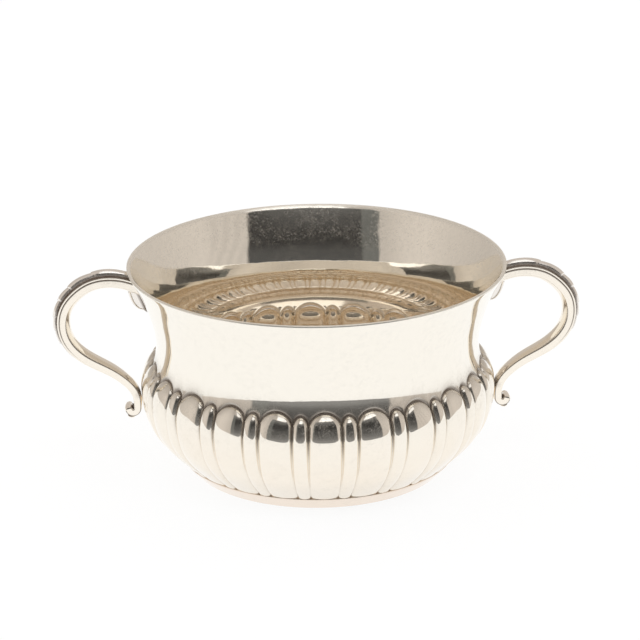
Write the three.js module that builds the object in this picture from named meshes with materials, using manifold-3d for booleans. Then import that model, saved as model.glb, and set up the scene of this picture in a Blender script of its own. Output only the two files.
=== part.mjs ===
// Two-handled porringer in raised and chased silver, in millimetres with +Z up.
// The origin is on the table under the middle of the foot, +X runs through the right handle
// and a broad lobe faces the front, -Y.
import * as THREE from "three";
import { mergeVertices } from "three/addons/utils/BufferGeometryUtils.js";
import Module from "manifold-3d";

const wasm = await Module();
wasm.setup();

// Bowl
const RIM_RADIUS = 62.5;
const HEIGHT = 69.75;
const WALL = 1.1;
const RIM_THICKNESS = 1.25;
const RIM_ROUND = 0.35;
const FLOOR_RADIUS = 38;
const FLOOR_HEIGHT = 2.0;

// Groove level of the body from the foot to just under the rim, as radius and height
const BODY_LINE = [
  [45.7, 4.9],
  [48.1, 7.3],
  [52.3, 11.9],
  [55.6, 17.4],
  [57.2, 25.0],
  [56.6, 31.6],
  [54.6, 35.8],
  [53.5, 39.6],
  [53.5, 45.6],
  [55.6, 54.6],
  [58.7, 63.0],
  [62.2, 69.0],
];

// Lobes: broad and narrow ones take turns round the body and end in round arches
const LOBE_PAIRS = 22;
const BROAD_SHARE = 0.68;
const BROAD_APEX_HEIGHT = 37.4;
const NARROW_APEX_HEIGHT = 36.5;
const ARCH_LENGTH = 5.0;
const LOBE_RISE = 1.5;
const LOBE_RISE_AT_FOOT = 0.55;
const GROOVE_DEPTH = 0.4;
const GROOVE_WIDTH = 0.9;
const BROAD_STEPS = [-1, -0.6, 0, 0.6];
const NARROW_STEPS = [-1, -0.45, 0.45];
const LOBE_ROWS = [0, 0.14, 0.32, 0.52, 0.72, 0.87, 0.955, 1];
const INNER_LOBE_ROWS = [1, 0.94, 0.84, 0.62, 0.32, 0];
const NECK_ROWS = [0.2, 0.45, 0.72, 1];
const INNER_NECK_ROWS = [1, 0.5];

// Foot ring
const FOOT_RADIUS = 42.0;
const FOOT_INNER_RADIUS = 39.4;
const FOOT_TOP_RADIUS = 45.6;
const FOOT_EDGE = 0.5;
const FOOT_SEGMENTS = 66;

// Solder line left between two pieces that touch
const SEAM = 0.3;

// Handles: the side of the strap towards the fingers, from inside the neck to the body,
// as distance from the bowl's axis and height
const STRAP_LINE = [
  [57.4, 59.3],
  [60.6, 61.0],
  [64.4, 62.35],
  [69.0, 62.8],
  [73.6, 61.8],
  [77.5, 59.1],
  [80.4, 55.2],
  [81.15, 50.9],
  [80.2, 46.6],
  [77.5, 42.7],
  [73.0, 39.2],
  [67.6, 35.9],
  [63.0, 32.2],
  [59.9, 28.2],
  [58.75, 24.6],
  [58.7, 21.0],
];
const CURL_RADIUS = 3.0;
const CURL_TURN = 3.35;
const STRAP_TAPER_START = 0.4;
const STRAP_STEPS = 40;
const CURL_STEPS = 10;
const HALF_BREADTH = 3.75;
const HALF_BREADTH_AT_END = 3.1;
const INNER_ROUND = 1.5;
const INNER_ROUND_AT_END = 0.45;
const SIDE_FACE = 2.2;
const SIDE_FACE_AT_END = 2.1;
const COVE_RISE = 0.85;
const COVE_RISE_AT_END = 0.2;
const PIP_RADIUS = 1.25;

// Husk rail along the outside of the strap: husk lengths along the strap line from the neck down
const HUSK_LENGTHS = [14.2, 6.3, 3.8, 3.9, 3.2, 3.5, 5.2, 7, 8.5];
const RAIL_START = 0.6;
const HUSK_HALF_WIDTH = 1.9;
const HUSK_HEIGHT = 1.75;
const RAIL_END_SCALE = 0.3;
const RAIL_TAPER_START = 0.3;

// Leaf drop under the upper joint of each handle: its ridge from the tip up, as height on the
// neck and distance out from it
const DROP_RIDGE = [
  [53.4, 0.1],
  [54.6, 1.2],
  [55.8, 2.5],
  [57.3, 3.4],
  [59.6, 3.8],
  [62.6, 3.6],
];
const DROP_HALF_WIDTH = 2.7;
const DROP_STEPS = 9;
const DROP_SUNK = 0.8;

// Small helpers
const mix = (from, to, share) => from + (to - from) * share;
const ease = (share) => THREE.MathUtils.smoothstep(share, 0, 1);

function curveThrough(pairs) {
  return new THREE.SplineCurve(pairs.map(([across, up]) => new THREE.Vector2(across, up)));
}

// Skin over a row of rings with the same number of points, closed by a fan at each end
function loft(rings) {
  const count = rings[0].length;
  const positions = rings.flat().flatMap((point) => [point.x, point.y, point.z]);
  const triangles = [];
  for (let row = 0; row + 1 < rings.length; row += 1) {
    for (let column = 0; column < count; column += 1) {
      const next = (column + 1) % count;
      const a = row * count + column;
      const b = row * count + next;
      const c = a + count;
      const d = b + count;
      triangles.push(a, b, d, a, d, c);
    }
  }
  for (const end of [0, rings.length - 1]) {
    const middle = new THREE.Vector3();
    rings[end].forEach((point) => middle.addScaledVector(point, 1 / count));
    const hub = positions.length / 3;
    positions.push(middle.x, middle.y, middle.z);
    for (let column = 0; column < count; column += 1) {
      const a = end * count + column;
      const b = end * count + ((column + 1) % count);
      triangles.push(...(end === 0 ? [hub, b, a] : [hub, a, b]));
    }
  }
  const geometry = new THREE.BufferGeometry();
  geometry.setAttribute("position", new THREE.Float32BufferAttribute(positions, 3));
  geometry.setIndex(triangles);
  return geometry;
}

function toSolid(geometry) {
  const bare = geometry.clone();
  bare.deleteAttribute("normal");
  bare.deleteAttribute("uv");
  const merged = mergeVertices(bare, 1e-5);
  return new wasm.Manifold(new wasm.Mesh({
    numProp: 3,
    vertProperties: new Float32Array(merged.attributes.position.array),
    triVerts: new Uint32Array(merged.index.array),
  }));
}

function toGeometry(solid) {
  const mesh = solid.getMesh();
  const geometry = new THREE.BufferGeometry();
  geometry.setAttribute("position", new THREE.BufferAttribute(mesh.vertProperties, 3));
  geometry.setIndex(new THREE.BufferAttribute(mesh.triVerts, 1));
  return geometry;
}

// Body line, read by its share of length from the foot to the rim
const bodyLine = curveThrough(BODY_LINE);
const bodyLength = bodyLine.getLength();

function shareAtHeight(height) {
  let low = 0;
  let high = 1;
  for (let turn = 0; turn < 40; turn += 1) {
    const middle = (low + high) / 2;
    if (bodyLine.getPointAt(middle).y < height) low = middle;
    else high = middle;
  }
  return low;
}

const broadApex = shareAtHeight(BROAD_APEX_HEIGHT);
const narrowApex = shareAtHeight(NARROW_APEX_HEIGHT);
const archSpring = broadApex - ARCH_LENGTH / bodyLength;

// Columns round the bowl: each knows its angle, its lobe's apex and its place across the lobe
function lobeColumns() {
  const pitch = (2 * Math.PI) / LOBE_PAIRS;
  const broadHalf = (pitch * BROAD_SHARE) / 2;
  const narrowHalf = pitch / 2 - broadHalf;
  const columns = [];
  for (let pair = 0; pair < LOBE_PAIRS; pair += 1) {
    const middle = -Math.PI / 2 + pair * pitch;
    for (const across of BROAD_STEPS) {
      columns.push({ angle: middle + across * broadHalf, across, apex: broadApex });
    }
    for (const across of NARROW_STEPS) {
      columns.push({ angle: middle + pitch / 2 + across * narrowHalf, across, apex: narrowApex });
    }
  }
  return columns;
}

const columns = lobeColumns();

// The arch over a lobe: where the lobe ends in this column
function lobeTop({ across, apex }) {
  return archSpring + (apex - archSpring) * Math.sqrt(1 - across * across);
}

// Height of the lobe over the groove level, like the top of a long rounded pillow
function lobeRise(column, share) {
  const up = Math.max(0, (share - archSpring) / (column.apex - archSpring));
  const fall = column.across ** 2 + up ** 2;
  if (fall > 0.999) return -GROOVE_DEPTH * ease(share / archSpring);
  const rise = mix(LOBE_RISE_AT_FOOT, LOBE_RISE, ease(share / archSpring));
  return rise * Math.sqrt(1 - fall);
}

// A ring of points on the body, moved square to its skin by an offset
function bodyRing(shareOf, riseOf, offset) {
  return columns.map((column) => {
    const share = shareOf(column);
    const point = bodyLine.getPointAt(share);
    const tangent = bodyLine.getTangentAt(share);
    const out = offset + riseOf(column, share);
    const radius = point.x + tangent.y * out;
    const height = point.y - tangent.x * out;
    return new THREE.Vector3(radius * Math.cos(column.angle), radius * Math.sin(column.angle), height);
  });
}

function roundRing(radius, height) {
  return columns.map(({ angle }) => (
    new THREE.Vector3(radius * Math.cos(angle), radius * Math.sin(angle), height)
  ));
}

const flat = () => 0;
const lobeRow = (row, offset) => bodyRing((column) => row * lobeTop(column), lobeRise, offset);

function grooveEdge(column) {
  return lobeTop(column) + GROOVE_WIDTH / bodyLength;
}

const edgeRow = (offset) => bodyRing(grooveEdge, flat, offset);
const neckRow = (row, offset) => bodyRing((column) => mix(grooveEdge(column), 1, row), flat, offset);

// Outside of the bowl from the foot to the rim, grown by an offset
function outerRings(offset) {
  return [
    roundRing(FLOOR_RADIUS, FLOOR_HEIGHT - offset),
    ...LOBE_ROWS.map((row) => lobeRow(row, offset)),
    edgeRow(offset),
    ...NECK_ROWS.map((row) => neckRow(row, offset)),
    roundRing(RIM_RADIUS + offset, HEIGHT - RIM_ROUND),
    roundRing(RIM_RADIUS - RIM_ROUND + offset, HEIGHT + offset),
  ];
}

function makeBowl() {
  return loft([
    ...outerRings(0),
    roundRing(RIM_RADIUS - RIM_THICKNESS + RIM_ROUND, HEIGHT),
    roundRing(RIM_RADIUS - RIM_THICKNESS, HEIGHT - RIM_ROUND),
    ...INNER_NECK_ROWS.map((row) => neckRow(row, -WALL)),
    edgeRow(-WALL),
    ...INNER_LOBE_ROWS.map((row) => lobeRow(row, -WALL)),
    roundRing(FLOOR_RADIUS, FLOOR_HEIGHT + WALL),
  ]);
}

function makeFootRing() {
  const seatInner = FLOOR_HEIGHT - SEAM;
  const slope = (BODY_LINE[0][1] - LOBE_RISE_AT_FOOT - FLOOR_HEIGHT) / (BODY_LINE[0][0] - FLOOR_RADIUS);
  const seatOuter = seatInner + slope * (FOOT_TOP_RADIUS - FLOOR_RADIUS);
  const outline = [
    [FOOT_INNER_RADIUS, 0],
    [FOOT_RADIUS, 0],
    [FOOT_RADIUS + FOOT_EDGE, FOOT_EDGE],
    [FOOT_TOP_RADIUS, seatOuter - FOOT_EDGE],
    [FOOT_TOP_RADIUS - 0.2, seatOuter - 0.1],
    [FOOT_INNER_RADIUS, seatInner],
    [FOOT_INNER_RADIUS, 0],
  ].map(([radius, height]) => new THREE.Vector2(radius, height));
  const ring = new THREE.LatheGeometry(outline, FOOT_SEGMENTS);
  ring.rotateX(Math.PI / 2);
  return toGeometry(toSolid(ring));
}

// Handle line: the strap line, then the curl that turns outwards and up at the lower end
function makeHandleLine() {
  const line = new THREE.CurvePath();
  line.add(curveThrough(STRAP_LINE));
  const [endAcross, endUp] = STRAP_LINE.at(-1);
  const middle = endAcross + CURL_RADIUS;
  line.add(new THREE.EllipseCurve(middle, endUp, CURL_RADIUS, CURL_RADIUS, Math.PI, Math.PI + CURL_TURN, false));
  return line;
}

const handleLine = makeHandleLine();
const [strapLength, handleLength] = handleLine.getCurveLengths();

// A point beside the handle line, outwards from the finger side and across the breadth
function besideHandle(share, across, outward) {
  const point = handleLine.getPoint(share);
  const tangent = handleLine.getTangent(share);
  return new THREE.Vector3(point.x - tangent.y * outward, across, point.y + tangent.x * outward);
}

// Sizes of the strap's section, easing from the loop to the lower end
function strapSizes(share) {
  const along = (share * handleLength) / strapLength;
  const blend = THREE.MathUtils.smoothstep(along, STRAP_TAPER_START, 1);
  return {
    half: mix(HALF_BREADTH, HALF_BREADTH_AT_END, blend),
    round: mix(INNER_ROUND, INNER_ROUND_AT_END, blend),
    side: mix(SIDE_FACE, SIDE_FACE_AT_END, blend),
    cove: mix(COVE_RISE, COVE_RISE_AT_END, blend),
  };
}

// Ring round the strap: rounded inside, flat sides, a fillet and a cove up to the seat of the rail
function strapRing(share, grow, fullness) {
  const { half, round, side, cove } = strapSizes(share);
  const shoulder = round + side;
  const halfOutline = [
    [0.6 * half, 0.14 * round],
    [0.92 * half, 0.5 * round],
    [half, round],
    [half, shoulder],
    [0.9 * half, shoulder + 0.25 * cove],
    [0.78 * half, shoulder + 0.1 * cove],
    [0.54 * half, shoulder + cove],
  ];
  const outline = [
    [0, 0],
    ...halfOutline,
    ...halfOutline.map(([across, outward]) => [-across, outward]).reverse(),
  ];
  const total = shoulder + cove;
  return outline.map(([across, outward]) => {
    const centred = (outward - total / 2) * fullness;
    const wide = across * fullness * (1 + grow / half);
    return besideHandle(share, wide, total / 2 + centred * (1 + (2 * grow) / total));
  });
}

function makeStrap(grow) {
  const rings = [];
  const strapShare = strapLength / handleLength;
  for (let step = 0; step < STRAP_STEPS; step += 1) {
    rings.push(strapRing((strapShare * step) / STRAP_STEPS, grow, 1));
  }
  for (let step = 0; step <= CURL_STEPS; step += 1) {
    const share = mix(strapShare, 1, step / CURL_STEPS);
    rings.push(strapRing(share, grow, step === CURL_STEPS ? 0.75 : 1));
  }
  return toSolid(loft(rings));
}

function makePip() {
  const pip = new THREE.SphereGeometry(PIP_RADIUS, 12, 8);
  const [endAcross, endUp] = STRAP_LINE.at(-1);
  pip.translate(endAcross + CURL_RADIUS + 0.6, 0, endUp - CURL_RADIUS - 0.2);
  return toSolid(pip);
}

// Husk rail: each husk starts slim, swells and steps down to the next
function railRing(length, halfWidth, height) {
  const share = length / handleLength;
  const { round, side, cove } = strapSizes(share);
  const seat = round + side + cove;
  const sunk = -0.5;
  const outline = [
    [1, sunk],
    [1, 0.5 * height],
    [0.62, 0.88 * height],
    [0, height],
    [-0.62, 0.88 * height],
    [-1, 0.5 * height],
    [-1, sunk],
  ];
  return outline.map(([across, up]) => besideHandle(share, across * halfWidth, seat + up));
}

function makeRail() {
  const rings = [];
  const swells = [
    [0, 0.78, 0.72],
    [0.35, 0.9, 0.88],
    [0.8, 1, 1],
    [0.97, 0.93, 0.93],
  ];
  const railLength = HUSK_LENGTHS.reduce((sum, length) => sum + length, 0);
  let start = RAIL_START;
  for (const length of HUSK_LENGTHS) {
    for (const [place, width, height] of swells) {
      const at = start + place * length;
      const taper = ease((at / railLength - RAIL_TAPER_START) / (1 - RAIL_TAPER_START));
      const scale = mix(1, RAIL_END_SCALE, taper);
      rings.push(railRing(at, width * scale * HUSK_HALF_WIDTH, height * scale * HUSK_HEIGHT));
    }
    start += length;
  }
  return toSolid(loft(rings));
}

// Leaf drop: a half-round leaf laid on the neck, full at the top and pointed below
function makeDrop() {
  const ridge = curveThrough(DROP_RIDGE);
  const rings = [];
  for (let step = 0; step <= DROP_STEPS; step += 1) {
    const up = step / DROP_STEPS;
    const { x: height, y: proudOfNeck } = ridge.getPointAt(up);
    const share = shareAtHeight(height);
    const point = bodyLine.getPointAt(share);
    const tangent = bodyLine.getTangentAt(share);
    const halfWidth = DROP_HALF_WIDTH * Math.sin(mix(0.12, 1.7, up));
    const proud = SEAM + proudOfNeck;
    const ring = [];
    for (let turn = 0; turn <= 6; turn += 1) {
      const angle = (Math.PI * turn) / 6;
      const across = -halfWidth * Math.cos(angle);
      const out = mix(-DROP_SUNK, proud, Math.sin(angle));
      ring.push(new THREE.Vector3(point.x + tangent.y * out, across, point.y - tangent.x * out));
    }
    rings.push(ring);
  }
  return toSolid(loft(rings));
}

// Everything that meets the bowl or the strap is cut to its outside, less a solder line
const bowlSeat = toSolid(loft(outerRings(SEAM)));
const strapSeat = makeStrap(SEAM);
const strap = makeStrap(0).add(makePip()).subtract(bowlSeat);
const rail = makeRail().subtract(bowlSeat).subtract(strapSeat);
const drop = makeDrop().subtract(bowlSeat).subtract(strapSeat);

const silver = (roughness) => new THREE.MeshStandardMaterial({ color: 0xd8d2c6, roughness, metalness: 1 });

const porringer = new THREE.Group();

function addPiece(name, geometry, roughness, turn) {
  const mesh = new THREE.Mesh(geometry, silver(roughness));
  mesh.name = name;
  mesh.rotation.z = turn;
  porringer.add(mesh);
}

addPiece("bowl", makeBowl(), 0.12, 0);
addPiece("foot_ring", makeFootRing(), 0.15, 0);
for (const [side, turn] of [["right", 0], ["left", Math.PI]]) {
  addPiece(`${side}_handle_strap`, toGeometry(strap), 0.2, turn);
  addPiece(`${side}_husk_rail`, toGeometry(rail), 0.22, turn);
  addPiece(`${side}_leaf_drop`, toGeometry(drop), 0.22, turn);
}

export default porringer;
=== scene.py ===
import math

import bpy
import numpy as np
from mathutils import Matrix, Vector


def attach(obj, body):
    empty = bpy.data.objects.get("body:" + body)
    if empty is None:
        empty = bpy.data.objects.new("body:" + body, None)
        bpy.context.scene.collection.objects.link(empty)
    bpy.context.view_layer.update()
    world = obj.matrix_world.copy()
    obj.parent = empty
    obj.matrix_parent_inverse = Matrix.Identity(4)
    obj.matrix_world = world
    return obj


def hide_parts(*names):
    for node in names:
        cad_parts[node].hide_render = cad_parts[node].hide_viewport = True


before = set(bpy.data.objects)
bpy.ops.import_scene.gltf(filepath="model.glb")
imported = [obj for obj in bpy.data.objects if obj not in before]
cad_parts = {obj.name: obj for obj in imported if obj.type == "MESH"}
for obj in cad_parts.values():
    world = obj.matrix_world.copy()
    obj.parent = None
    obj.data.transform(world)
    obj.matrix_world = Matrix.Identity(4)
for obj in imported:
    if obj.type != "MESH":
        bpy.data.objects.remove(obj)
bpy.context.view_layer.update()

# Sizes are in millimetres, as in the part's source, and every mesh is scaled by MM. A pair or
# triple that fade() takes is where the fade starts, where it is full and, unless that is 1, how
# strong it is there
MM = 0.001
LEAST_DIVISOR = 1e-6

# Bowl
WALL = 1.1
LIP_RADIUS = 0.52
NECK_THICKENS = (41.0, 53.5, 0.5)
NECK_THINS = (55.0, 65.0)
FLOOR_RADIUS = 38.0
FLOOR_HEIGHT = 2.0
FLOOR_TOP = FLOOR_HEIGHT + WALL

# Groove level of the body from the foot to just under the rim, as radius and height
BODY_LINE = [
    (45.7, 4.9),
    (48.1, 7.3),
    (52.3, 11.9),
    (55.6, 17.4),
    (57.2, 25.0),
    (56.6, 31.6),
    (54.6, 35.8),
    (53.5, 39.6),
    (53.5, 45.6),
    (55.65, 54.6),
    (58.9, 63.0),
    (62.2, 68.95),
]
BODY_SMOOTHING = 900

# Floor of the bowl as radius and height: its underside outwards and its inside inwards
UNDERSIDE = [(8.0, FLOOR_HEIGHT), (24.0, FLOOR_HEIGHT), (FLOOR_RADIUS, FLOOR_HEIGHT), (42.0, 2.7)]
INNER_FLOOR = [
    (42.5, 4.0),
    (40.0, 3.3),
    (FLOOR_RADIUS, 3.12),
    (30.0, FLOOR_TOP),
    (15.0, FLOOR_TOP),
    (5.0, FLOOR_TOP),
]

# Lobes
LOBE_PAIRS = 22
BROAD_SHARE = 0.68
BROAD_APEX_HEIGHT = 37.4
NARROW_APEX_HEIGHT = 36.5
ARCH_LENGTH = 5.0
LOBE_RISE = 1.5
LOBE_RISE_AT_FOOT = 0.4
LOBE_FLATNESS = 2.3
LOBE_FLANK = 0.6
GROOVE_DEPTH = 0.4
GROOVE_DEPTH_AT_FOOT = 0.08
GROOVE_HALF_WIDTH = 0.45
INNER_RELIEF = 1.2
INNER_ARCH_DROP = 1.5

# How far the lobes are turned by hand, in degrees: all of them, and in waves round the bowl, each
# as its size, its count round the bowl and where it starts
LOBE_TURN = -1.0
LOBE_TURN_WAVES = [(-0.45, 2, math.pi / 2), (0.2, 5, 0.0), (0.12, 11, 1.0)]

# Grid of the bowl: columns of each lobe, rows of the lip, and rows below and above the arches as a
# count and how much they gather towards the arches
BROAD_COLUMNS = 14
NARROW_COLUMNS = 10
LIP_ROWS = 12
OUTER_LOBE_ROWS = (55, 1.6)
OUTER_NECK_ROWS = (36, 1.5)
INNER_NECK_ROWS = (37, 1.3)
INNER_LOBE_ROWS = (35, 1.5)

# Tarnish in the groove: how far past the lobe's edge it lies, and its half width and strength at
# the foot and at the arches. It changes over the last part of the way up to the arches
GROOVE_STAIN_PLACE = 0.1
GROOVE_STAIN_HALF_WIDTHS = (0.3, 0.42)
GROOVE_STAINS = (0.1, 0.9)
GROOVE_STAIN_CHANGE = 0.6

# Tarnish in the angle over the arches and a smudge about it, each as distance past the lobe's
# edge, half width and strength, and the distance over which both come in
ANGLE_STAIN = (0.5, 0.55, 0.75)
SMUDGE = (0.0, 2.2, 0.3)
ARCH_STAIN_RISE = 2.0

# Wear of the bowl, as fades by height: tarnish inside, the warm film, where it is rubbed bright
# and specked, and where it is dull
FLOOR_STAIN = 0.04
INNER_STAIN = (16.0, 6.0, FLOOR_STAIN)
INNER_GROOVE_STAIN = 0.1
INNER_FILM = (47.0, 41.0, 0.9)
OUTER_FILM = (46.0, 12.0, 1.1)
INNER_RUBBED = (46.0, 64.0, 0.9)
INNER_RUBBED_LEAST = 0.1
OUTER_RUBBED_BELOW = (44.0, 38.0, 0.85)
OUTER_RUBBED_ABOVE = (24.0, 32.0)
INNER_DULL = (42.0, 34.0, 0.03)
FLOOR_DULL = (8.0, 3.0, 0.35)
OUTER_DULL = (16.0, 7.0, 0.4)
LIP_DULL = (69.0, 69.4)

# Foot ring, as radius and height from its inside, round the foot and up to its flared top
FOOT_RADIUS = 42.0
FOOT_INNER_RADIUS = 39.4
FOOT_TOP_RADIUS = 45.95
FOOT_TOP_HEIGHT = 4.5
FOOT_OUTLINE = [
    (FOOT_INNER_RADIUS, 1.6),
    (FOOT_INNER_RADIUS, 0.5),
    (FOOT_INNER_RADIUS + 0.15, 0.12),
    (FOOT_INNER_RADIUS + 0.5, 0.0),
    (FOOT_RADIUS - 0.4, 0.0),
    (FOOT_RADIUS + 0.05, 0.06),
    (FOOT_RADIUS + 0.35, 0.28),
    (FOOT_RADIUS + 0.75, 0.75),
    (FOOT_RADIUS + 1.4, 1.5),
    (FOOT_RADIUS + 2.2, 2.35),
    (FOOT_TOP_RADIUS - 1.0, FOOT_TOP_HEIGHT - 1.3),
    (FOOT_TOP_RADIUS - 0.4, FOOT_TOP_HEIGHT - 0.65),
    (FOOT_TOP_RADIUS - 0.08, FOOT_TOP_HEIGHT - 0.25),
    (FOOT_TOP_RADIUS, FOOT_TOP_HEIGHT),
    (FOOT_TOP_RADIUS - 0.1, FOOT_TOP_HEIGHT + 0.14),
    (FOOT_TOP_RADIUS - 0.5, FOOT_TOP_HEIGHT + 0.15),
    (FOOT_TOP_RADIUS - 1.3, FOOT_TOP_HEIGHT - 0.35),
    (FLOOR_RADIUS + 4.0, 2.8),
]
FOOT_COLUMNS = 256

# Handles: the side of the strap towards the fingers, from inside the neck to the body,
# as distance from the bowl's axis and height
STRAP_LINE = [
    (57.4, 59.3),
    (60.6, 61.0),
    (64.4, 62.35),
    (69.0, 62.8),
    (73.6, 61.8),
    (77.5, 59.1),
    (80.4, 55.2),
    (81.15, 50.9),
    (80.2, 46.6),
    (77.5, 42.7),
    (73.0, 39.2),
    (67.6, 35.9),
    (63.0, 32.2),
    (59.75, 28.2),
    (58.5, 24.6),
    (58.4, 21.0),
]
STRAP_SMOOTHING = 300
STRAP_ROWS = 200
DEPTH_IN_WALL = 0.7

# Curl at the lower end of the strap, and how its end is rounded
CURL_RADIUS = 3.0
CURL_TURN = 2.85
CURL_ROWS = 41
CURL_END_ROWS = 7
CURL_END_ROUND = 0.8
CURL_END_BREADTH = 0.93
CURL_END_LEAST = 0.06

# Section of the strap, at the neck and at the end of its taper
STRAP_TAPER = (0.4, 1.0)
HALF_BREADTHS = (3.75, 3.1)
INNER_ROUNDS = (1.5, 0.45)
SIDE_FACES = (2.2, 2.1)
COVE_RISES = (0.85, 0.2)
INNER_ROUND_POWER = 2.2
CORNER = 0.2

# Painted shade along the two edges of the side, as distance from the edge and strength: in the
# crease at the inner edge, and at the outer edge and its corner a painted reflection of the dark
# opening. Then the shares of the strap's length where the inner one comes in and the outer one ends
INNER_EDGE_SHADE = [(0.0, 0.8), (0.12, 0.6), (0.3, 0.0)]
OUTER_EDGE_SHADE = [(0.25, 0.0), (0.0, 0.6)]
CORNER_SHADE = 0.9
INNER_EDGE_SHADE_STARTS = (0.4, 0.5)
OUTER_EDGE_SHADE_ENDS = (0.45, 0.6)

# Fillet beside the cove, as distance in from the side, rise over the edge and darkening: a painted
# dark line at its foot, a painted reflection of the dark opening, then tarnish and painted shade
# into the cove
FILLET = [
    (0.3, 0.02, 0.9),
    (0.3, 0.1, 0.0),
    (0.28, 0.46, 0.0),
    (0.28, 0.52, 0.0),
    (0.3, 0.58, 0.0),
    (0.42, 0.6, 0.4),
    (0.6, 0.45, 0.8),
]

# Cove from the fillet to under the husks: shares of the half breadth, least share of its rise, and
# darkening at the fillet and how it grows, tarnish together with painted shade of the hollow. Where
# that darkening is fuller still the cove isn't dull
COVE_ACROSS = (0.8, 0.5)
COVE_LEAST_RISE = 0.3
COVE_STAIN_AND_SHADE = 0.85
COVE_STAIN_AND_SHADE_GROWTH = 0.1
COVE_DULL = 0.8
COVE_DULL_BELOW = 0.99

# Painted shade round the lower joint, where the strap comes close to the lobes: how far it reaches
# from the lobes, and between which heights
JOINT_SHADE = 0.85
JOINT_SHADE_REACH = 1.6
JOINT_SHADE_FROM = (24.0, 27.0)
JOINT_SHADE_TO = 40.0

# Pip in the curl: radii, place out from the curl's middle and under the curl, painted shade by
# height on its upper half under the curl
PIP_RADII = (1.3, 2.0, 0.8)
PIP_OUT = 0.6
PIP_DOWN = 0.25
PIP_SHADE = (-0.1, 0.2, 0.9)
PIP_ROWS = 18
PIP_COLUMNS = 28

# Husk rail: husk lengths along the strap line from the neck down
HUSK_LENGTHS = [14.2, 6.3, 3.8, 3.9, 3.2, 3.5, 5.2, 7.0, 8.5]
HUSK_HALF_WIDTH = 1.9
HUSK_HEIGHT = 1.75
RAIL_START = 0.6
RAIL_PAST_END = 0.8
RAIL_END_SCALE = 0.3
RAIL_TAPER = (0.3, 1.0)
RAIL_BREADTH = 1.04
RAIL_SUNK = 0.12
RAIL_GAP_DEPTH = 0.3
RAIL_UNDERSIDE_DEPTH = 0.6
RAIL_ROWS = 420
RAIL_COLUMNS = 25

# One husk: how far it laps over the next as a share of its half width, where along it the tongue
# starts, its width and height at the start and where along it they are full, and how flat it is
HUSK_LAP = 0.44
TONGUE_START = 0.86
TONGUE_POWER = 2.2
TONGUE_HEIGHT = 0.94
HUSK_START_WIDTH = 0.8
HUSK_WIDEST = 0.75
HUSK_START_HEIGHT = 0.74
HUSK_HIGHEST = 0.8
HUSK_FLATNESS = 2.4
# Painted shade on the low parts of each husk, between the husks and on the rail's underside: its
# strength, and the shares of the husk's height over which it fades out
HUSK_SHADE = 0.62
HUSK_SHADE_FADE_HEIGHTS = (0.1, 0.65)

# Leaf drop under the upper joint of each handle: its ridge from the tip up, as height on the
# neck and distance out from it
DROP_RIDGE = [
    (53.3, 0.1),
    (54.4, 0.9),
    (55.1, 1.7),
    (55.9, 2.8),
    (57.3, 3.6),
    (59.6, 4.0),
    (62.6, 3.7),
]
DROP_SMOOTHING = 400
DROP_HALF_WIDTH = 2.7
DROP_WIDTH_ANGLES = (0.06, 1.7)
DROP_HOLLOW = 0.07
DROP_SUNK = 0.6
DROP_ROWS = 48
DROP_COLUMNS = 21

# Painted shade of the leaf drop in the crevice along the neck, which ends with distance out from
# the neck, and at the tip, where it ends with the way up it
DROP_SHADE_END_OUT = (0.2, 1.4)
DROP_SHADE_END_UP = (0.0, 0.14)
DROP_TIP_SHADE = 0.9

# Wear at the middle of the fans that close a piece
FAN_WEAR = 0.1

# Camera, from the rim, foot and lobes of the photograph
IMAGE_SIZE = 640
CAMERA_PLACE = (-50.459, -979.674, 403.961)
CAMERA_AIM = (0.0, 0.0, 31.25)
CAMERA_ROLL = -0.0107738
CAMERA_LENS = 177.90
CAMERA_SENSOR = 36.0
CAMERA_CLIP_END = 20000.0
AIM_PIXEL = (317.69, 371.24)

# Colours of the warm film low on the body and of the brown tarnish of grooves and coves, which on
# the handles also paints shade and dark reflected lines, and the bare colour, the haze of the
# cloudy film and the roughness of each silver
FILM = (0.925, 0.842, 0.73)
TARNISH_AND_SHADE_BROWN = (0.135, 0.085, 0.055)
SILVERS = {
    "bowl_silver": ((0.955, 0.912, 0.828), 0.07, 0.02),
    "foot_silver": ((0.875, 0.765, 0.66), 0.07, 0.08),
    "handle_silver": ((0.955, 0.89, 0.79), 0.05, 0.07),
    "husk_silver": ((0.9, 0.855, 0.8), 0.07, 0.13),
}

# Patterns on the silver, as scale per metre, detail and roughness of the noise
PATCHES = (55, 5, 0.6)
CLOUDS = (420, 8, 0.72)
SPECKS = (1200, 5, 0.8)
SCRATCHES = (1, 3, 0.5)
SCRATCH_SCALE = (45, 2600, 2600)
SCRATCH_TURN = (0.3, 0.7, 0.9)
WAVES = (75, 2, 0.5)
GRAIN = (1500, 4, 0.6)

# Levels of the noise between which each pattern comes in, and of the rubbed layer for the specks
PATCH_LEVELS = (0.3, 0.6)
CLOUD_LEVELS = (0.44, 0.68)
SPECK_LEVELS = (0.53, 0.62)
SCRATCH_LEVELS = (0.64, 0.72)
SPECKS_ON_RUBBED = (0.5, 1)

# What each pattern or layer does to the film, the tarnish and painted shade, the veil that hides
# the metal, the worn places, the bare metal and the roughness: a factor and, in a pair, what is
# added to it
FILM_BY_PATCHES = (0.9, 0.2)
STAIN_AND_SHADE_BY_CLOUDS = (-0.6, 1.2)
VEIL_BY_CLOUDS = (0.8, 0.5)
VEIL_BY_MARKS = 0.4
VEIL_BY_SPECKS = 4.0
WORN_BY_CLOUDS = (1.8, 0.7)
BARE_BY_DULL = -0.35
BARE_BY_STAIN_AND_SHADE = -0.55
ROUGH_BY_CLOUDS = 0.035
ROUGH_BY_TARNISH_AND_SHADE = 0.3
ROUGH_BY_DULL = 0.35
ROUGH_BY_MARKS = 0.03
WAVE_DEPTH = 0.09
GRAIN_DEPTH = 0.0025
MARK_DEPTH = 0.002

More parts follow.
